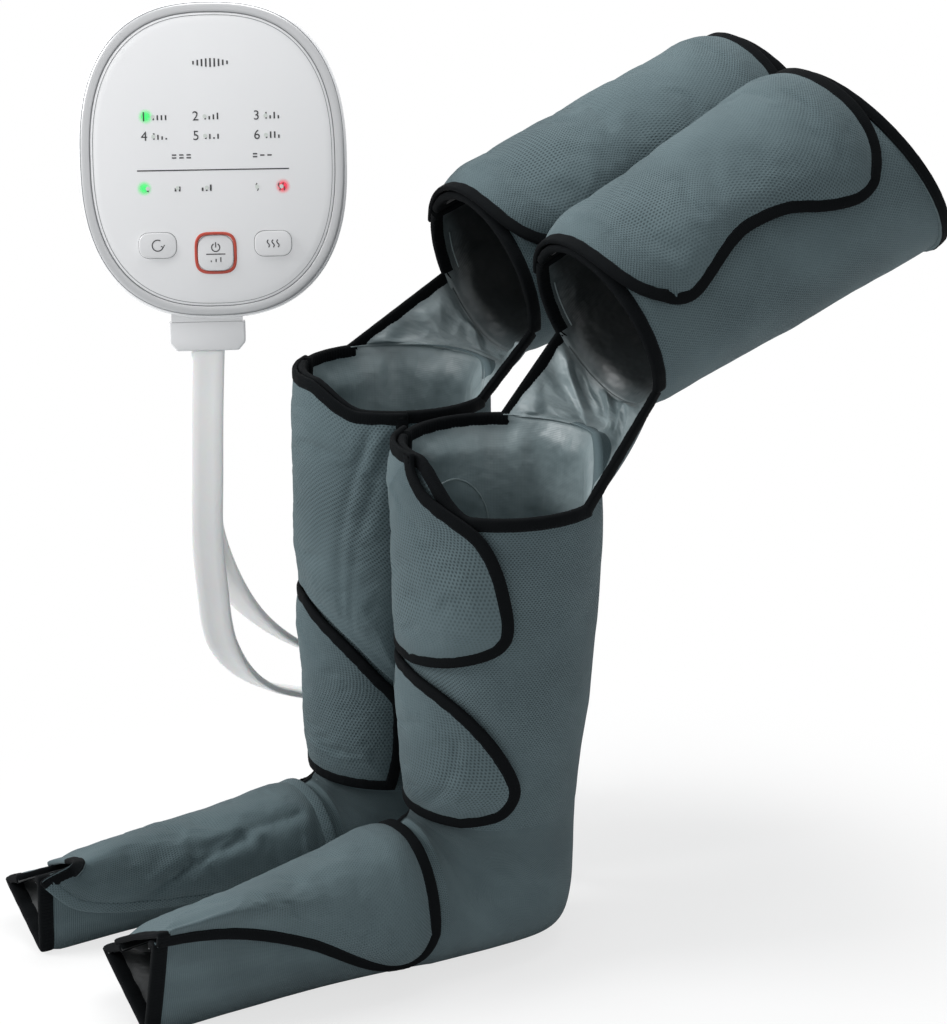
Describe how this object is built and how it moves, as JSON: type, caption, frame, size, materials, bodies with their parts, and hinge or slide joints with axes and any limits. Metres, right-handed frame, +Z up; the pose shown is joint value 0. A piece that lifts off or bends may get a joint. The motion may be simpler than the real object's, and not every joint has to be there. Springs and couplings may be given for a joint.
{
  "type": "air compression leg massager",
  "caption": "Pair of padded full-leg air compression wraps, posed as worn seated, with overlapping flaps, a round-cornered hand control and flat air hoses.",
  "frame": {"origin": "on the floor under the left calf, in the middle of the left sole's heel part", "axes": "+Z up, toes along -Y, +X to the wearer's left"},
  "size_m": [0.4466, 0.7996, 0.7518],
  "materials": {
    "shell_mesh": "padded mesh fabric, matt",
    "flap_mesh": "padded mesh fabric, matt",
    "lining_satin": "satin lining, soft sheen",
    "loop_tape": "brushed loop tape",
    "bladder_film": "coated nylon film",
    "heater_film": "flexible heater film",
    "hose_white": "satin flexible tube",
    "case_white": "glossy white",
    "bezel_silver": "satin silver",
    "key_white": "satin white",
    "ring_red": "glossy orange red",
    "board_green": "solder mask",
    "part_black": "moulded black",
    "led_clear": "clear resin",
    "pump_grey": "moulded grey",
    "mount_rubber": "soft black rubber",
    "valve_steel": "plated steel",
    "screw_steel": "zinc plated",
    "nozzle_grey": "moulded grey"
  },
  "bodies": {
    "leg_wraps": {"left_foot_shell": "shell_mesh", "left_calf_shell": "shell_mesh", "left_boot_lining": "lining_satin", "left_foot_bladder": "bladder_film", "left_calf_bladder": "bladder_film", "left_foot_heater": "heater_film", "left_loop_patches": "loop_tape", "left_knee_band": "lining_satin", "left_hose_inlet": "case_white", "left_air_hose": "hose_white", "right_foot_shell": "shell_mesh", "right_calf_shell": "shell_mesh", "right_boot_lining": "lining_satin", "right_foot_bladder": "bladder_film", "right_calf_bladder": "bladder_film", "right_foot_heater": "heater_film", "right_loop_patches": "loop_tape", "right_knee_band": "lining_satin", "right_hose_inlet": "case_white", "right_air_hose": "hose_white", "hose_plug": "case_white", "plug_nozzles": "nozzle_grey", "plug_seals": "mount_rubber"},
    "left_thigh_wrap": {"left_thigh_shell": "shell_mesh", "left_thigh_lining": "lining_satin", "left_thigh_bladder": "bladder_film", "left_thigh_loop_patch": "loop_tape"},
    "left_foot_flap_body": {"left_foot_flap": "flap_mesh"},
    "left_lower_calf_flap_body": {"left_lower_calf_flap": "flap_mesh"},
    "left_upper_calf_flap_body": {"left_upper_calf_flap": "flap_mesh"},
    "left_thigh_flap_body": {"left_thigh_flap": "flap_mesh"},
    "right_thigh_wrap": {"right_thigh_shell": "shell_mesh", "right_thigh_lining": "lining_satin", "right_thigh_bladder": "bladder_film", "right_thigh_loop_patch": "loop_tape"},
    "right_foot_flap_body": {"right_foot_flap": "flap_mesh"},
    "right_lower_calf_flap_body": {"right_lower_calf_flap": "flap_mesh"},
    "right_upper_calf_flap_body": {"right_upper_calf_flap": "flap_mesh"},
    "right_thigh_flap_body": {"right_thigh_flap": "flap_mesh"},
    "hand_control": {"front_cover": "case_white", "bezel_ring": "bezel_silver", "rear_cover": "case_white", "power_button_ring": "ring_red", "circuit_board": "board_green", "tact_switches": "part_black", "indicator_leds": "led_clear", "light_guide": "led_clear", "air_pump": "pump_grey", "pump_mounts": "mount_rubber", "solenoid_valves": "valve_steel", "air_manifold": "pump_grey", "air_tubes": "bladder_film", "hose_socket": "case_white", "dc_jack": "part_black", "case_screws": "screw_steel"},
    "program_key": {"program_button": "key_white"},
    "power_key": {"power_button": "key_white"},
    "heat_key": {"heat_button": "key_white"}
  },
  "joints": [
    {"name": "left_knee_fold", "type": "hinge", "parent": "leg_wraps", "child": "left_thigh_wrap", "pos_m": [0, 0.096, 0.425], "axis": [1, 0, 0], "range_deg": [-30, 65], "deforming": ["left_knee_band"]},
    {"name": "left_upper_calf_flap_hinge", "type": "hinge", "parent": "leg_wraps", "child": "left_upper_calf_flap_body", "pos_m": [-0.06448, -0.0513, 0.3465], "axis": [-0.0154, -0.0013, 0.9999], "range_deg": [-85, 0]},
    {"name": "left_lower_calf_flap_hinge", "type": "hinge", "parent": "leg_wraps", "child": "left_lower_calf_flap_body", "pos_m": [-0.05816, -0.05049, 0.1915], "axis": [-0.0681, -0.0058, 0.9977], "range_deg": [-85, 0]},
    {"name": "left_foot_flap_hinge", "type": "hinge", "parent": "leg_wraps", "child": "left_foot_flap_body", "pos_m": [-0.048, -0.21, 0.06973], "axis": [0.0373, -0.9906, -0.1317], "range_deg": [0, 40]},
    {"name": "left_thigh_flap_hinge", "type": "hinge", "parent": "left_thigh_wrap", "child": "left_thigh_flap_body", "pos_m": [-0.06796, 0.19449, 0.60164], "axis": [-0.0035, -0.8981, -0.4398], "range_deg": [0, 30]},
    {"name": "right_knee_fold", "type": "hinge", "parent": "leg_wraps", "child": "right_thigh_wrap", "pos_m": [-0.176, 0.092, 0.447], "axis": [1, 0, 0], "range_deg": [-30, 30], "deforming": ["right_knee_band"]},
    {"name": "right_upper_calf_flap_hinge", "type": "hinge", "parent": "leg_wraps", "child": "right_upper_calf_flap_body", "pos_m": [-0.24117, -0.05135, 0.3565], "axis": [-0.0066, -0.0006, 1], "range_deg": [-40, 0]},
    {"name": "right_lower_calf_flap_hinge", "type": "hinge", "parent": "leg_wraps", "child": "right_lower_calf_flap_body", "pos_m": [-0.23501, -0.05056, 0.1775], "axis": [-0.0624, -0.0053, 0.998], "range_deg": [-40, 0]},
    {"name": "right_foot_flap_hinge", "type": "hinge", "parent": "leg_wraps", "child": "right_foot_flap_body", "pos_m": [-0.22565, -0.22, 0.05479], "axis": [0.0338, -0.9972, -0.0669], "range_deg": [0, 40]},
    {"name": "right_thigh_flap_hinge", "type": "hinge", "parent": "right_thigh_wrap", "child": "right_thigh_flap_body", "pos_m": [-0.25196, 0.22365, 0.60832], "axis": [0.047, -0.941, -0.335], "range_deg": [0, 25]},
    {"name": "hose_plug_release", "type": "slide", "parent": "leg_wraps", "child": "hand_control", "axis": [-0.1521, 0.0684, 0.986], "range_m": [0, 0.018]},
    {"name": "program_press", "type": "slide", "parent": "hand_control", "child": "program_key", "axis": [-0.8993, 0.4042, -0.1668], "range_m": [0, 0.0008], "stiffness_N_per_m": 1200, "springref_m": -0.0003},
    {"name": "power_press", "type": "slide", "parent": "hand_control", "child": "power_key", "axis": [-0.8993, 0.4042, -0.1668], "range_m": [0, 0.0008], "stiffness_N_per_m": 1200, "springref_m": -0.0003},
    {"name": "heat_press", "type": "slide", "parent": "hand_control", "child": "heat_key", "axis": [-0.8993, 0.4042, -0.1668], "range_m": [0, 0.0008], "stiffness_N_per_m": 1200, "springref_m": -0.0003}
  ]
}
